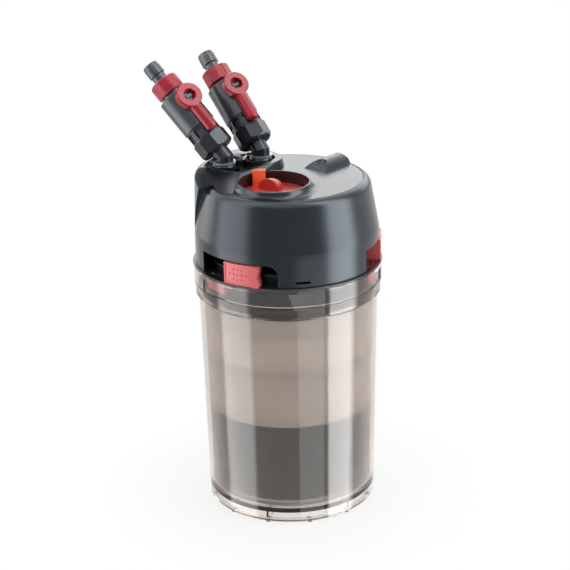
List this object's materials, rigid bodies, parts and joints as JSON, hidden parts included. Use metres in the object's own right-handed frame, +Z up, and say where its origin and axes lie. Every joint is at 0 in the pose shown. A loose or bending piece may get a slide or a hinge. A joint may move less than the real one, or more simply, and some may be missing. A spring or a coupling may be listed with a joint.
{
  "type": "canister filter",
  "caption": "Aquarium canister filter: clear vessel with media baskets, pump head on sliding latches, hand primer and valved hose elbows.",
  "frame": {"origin": "canister axis on the floor, at the bottom of the rubber feet", "axes": "+Z up along the canister axis, -Y towards the front, where the primer well is"},
  "size_m": [0.2348, 0.2026, 0.447],
  "materials": {
    "clear_plastic": "smoked clear",
    "foot_rubber": "matt",
    "basket_plastic": "translucent",
    "sponge": "open foam",
    "ceramic": "porous ceramic",
    "floss": "soft wadding",
    "black_plastic": "satin",
    "seal_rubber": "matt",
    "cover_plastic": "fine-textured satin",
    "steel": "bright",
    "grey_plastic": "satin",
    "laminations": "stamped",
    "copper": "enamelled wire",
    "white_plastic": "gloss",
    "magnet": "coated ferrite",
    "shaft_ceramic": "polished ceramic",
    "red_plastic": "satin gloss",
    "orange_plastic": "satin gloss",
    "clip_plastic": "satin",
    "button_plastic": "satin"
  },
  "bodies": {
    "vessel": {"canister": "clear_plastic", "rubber_feet": "foot_rubber", "basket_lower": "basket_plastic", "basket_middle": "basket_plastic", "basket_upper": "basket_plastic", "basket_lid": "basket_plastic", "coarse_sponge": "sponge", "ceramic_rings": "ceramic", "filter_floss": "floss", "intake_tube": "black_plastic", "intake_seal": "seal_rubber", "main_seal": "seal_rubber", "head_base": "black_plastic", "head_cover": "cover_plastic", "cover_screws": "steel", "motor_housing": "grey_plastic", "stator_core": "laminations", "stator_coils": "copper", "impeller_shaft": "shaft_ceramic", "upper_bushing": "seal_rubber", "lower_bushing": "seal_rubber", "impeller_cover": "black_plastic", "primer_cylinder": "grey_plastic", "primer_spring": "steel", "port_clips": "clip_plastic", "button_spring": "steel", "cable_grommet": "seal_rubber"},
    "rotor": {"impeller": "white_plastic", "rotor_magnet": "magnet"},
    "plunger": {"primer_piston": "white_plastic", "piston_seal": "seal_rubber"},
    "knob": {"primer_knob": "red_plastic", "primer_tab": "orange_plastic"},
    "button": {"release_button": "button_plastic"},
    "latch_front_left": {"latch_1": "red_plastic"},
    "latch_right": {"latch_2": "red_plastic"},
    "latch_back": {"latch_3": "red_plastic"},
    "valve_1": {"elbow_1": "black_plastic", "elbow_seal_1": "seal_rubber", "valve_body_1": "grey_plastic", "hose_barb_1": "grey_plastic", "barb_seal_1": "seal_rubber"},
    "lever_1": {"valve_lever_1": "red_plastic", "valve_stem_1": "black_plastic", "valve_ball_1": "white_plastic"},
    "union_nut_1": {"union_nut_1": "black_plastic"},
    "hose_nut_1": {"hose_nut_1": "red_plastic"},
    "valve_2": {"elbow_2": "black_plastic", "elbow_seal_2": "seal_rubber", "valve_body_2": "grey_plastic", "hose_barb_2": "grey_plastic", "barb_seal_2": "seal_rubber"},
    "lever_2": {"valve_lever_2": "red_plastic", "valve_stem_2": "black_plastic", "valve_ball_2": "white_plastic"},
    "union_nut_2": {"union_nut_2": "black_plastic"},
    "hose_nut_2": {"hose_nut_2": "red_plastic"}
  },
  "joints": [
    {"name": "rotor_spin", "type": "hinge", "parent": "vessel", "child": "rotor", "pos_m": [0.03, 0.018, 0.26], "axis": [0, 0, 1], "continuous": true},
    {"name": "primer_press", "type": "slide", "parent": "vessel", "child": "plunger", "axis": [0, 0, 1], "range_m": [-0.012, 0], "stiffness_N_per_m": 350, "springref_m": 0.006, "deforming": ["primer_spring"]},
    {"name": "primer_turn", "type": "hinge", "parent": "plunger", "child": "knob", "pos_m": [-0.0118, -0.0374, 0.33], "axis": [0, 0, 1], "range_deg": [0, 90]},
    {"name": "button_press", "type": "slide", "parent": "vessel", "child": "button", "axis": [0, 0, 1], "range_m": [-0.003, 0], "stiffness_N_per_m": 300, "springref_m": 0.003, "deforming": ["button_spring"]},
    {"name": "latch_front_left_slide", "type": "hinge", "parent": "vessel", "child": "latch_front_left", "pos_m": [0, 0, 0.26], "axis": [0, 0, 1], "range_deg": [-21, 0]},
    {"name": "latch_right_slide", "type": "hinge", "parent": "vessel", "child": "latch_right", "pos_m": [0, 0, 0.26], "axis": [0, 0, 1], "range_deg": [-21, 0]},
    {"name": "latch_back_slide", "type": "hinge", "parent": "vessel", "child": "latch_back", "pos_m": [0, 0, 0.26], "axis": [0, 0, 1], "range_deg": [-21, 0]},
    {"name": "valve_1_swivel", "type": "hinge", "parent": "vessel", "child": "valve_1", "pos_m": [-0.0611, 0.0161, 0.34], "axis": [0, 0, 1], "range_deg": [0, 70]},
    {"name": "lever_1_turn", "type": "hinge", "parent": "valve_1", "child": "lever_1", "pos_m": [-0.10164, 0.0395, 0.40451], "axis": [0.3312, -0.6974, 0.6355], "range_deg": [-90, 0]},
    {"name": "union_nut_1_turn", "type": "hinge", "parent": "valve_1", "child": "union_nut_1", "pos_m": [-0.07133, 0.022, 0.36951], "axis": [-0.6124, 0.3536, 0.7071], "continuous": true},
    {"name": "hose_nut_1_turn", "type": "hinge", "parent": "valve_1", "child": "hose_nut_1", "pos_m": [-0.11542, 0.04746, 0.42042], "axis": [-0.6124, 0.3536, 0.7071], "continuous": true},
    {"name": "valve_2_swivel", "type": "hinge", "parent": "vessel", "child": "valve_2", "pos_m": [-0.025, 0.0378, 0.34], "axis": [0, 0, 1], "range_deg": [-70, 0]},
    {"name": "lever_2_turn", "type": "hinge", "parent": "valve_2", "child": "lever_2", "pos_m": [-0.05571, 0.07313, 0.40451], "axis": [0.3114, -0.649, 0.6941], "range_deg": [0, 90]},
    {"name": "union_nut_2_turn", "type": "hinge", "parent": "valve_2", "child": "union_nut_2", "pos_m": [-0.03275, 0.04671, 0.36951], "axis": [-0.4639, 0.5337, 0.7071], "continuous": true},
    {"name": "hose_nut_2_turn", "type": "hinge", "parent": "valve_2", "child": "hose_nut_2", "pos_m": [-0.06615, 0.08514, 0.42042], "axis": [-0.4639, 0.5337, 0.7071], "continuous": true}
  ]
}
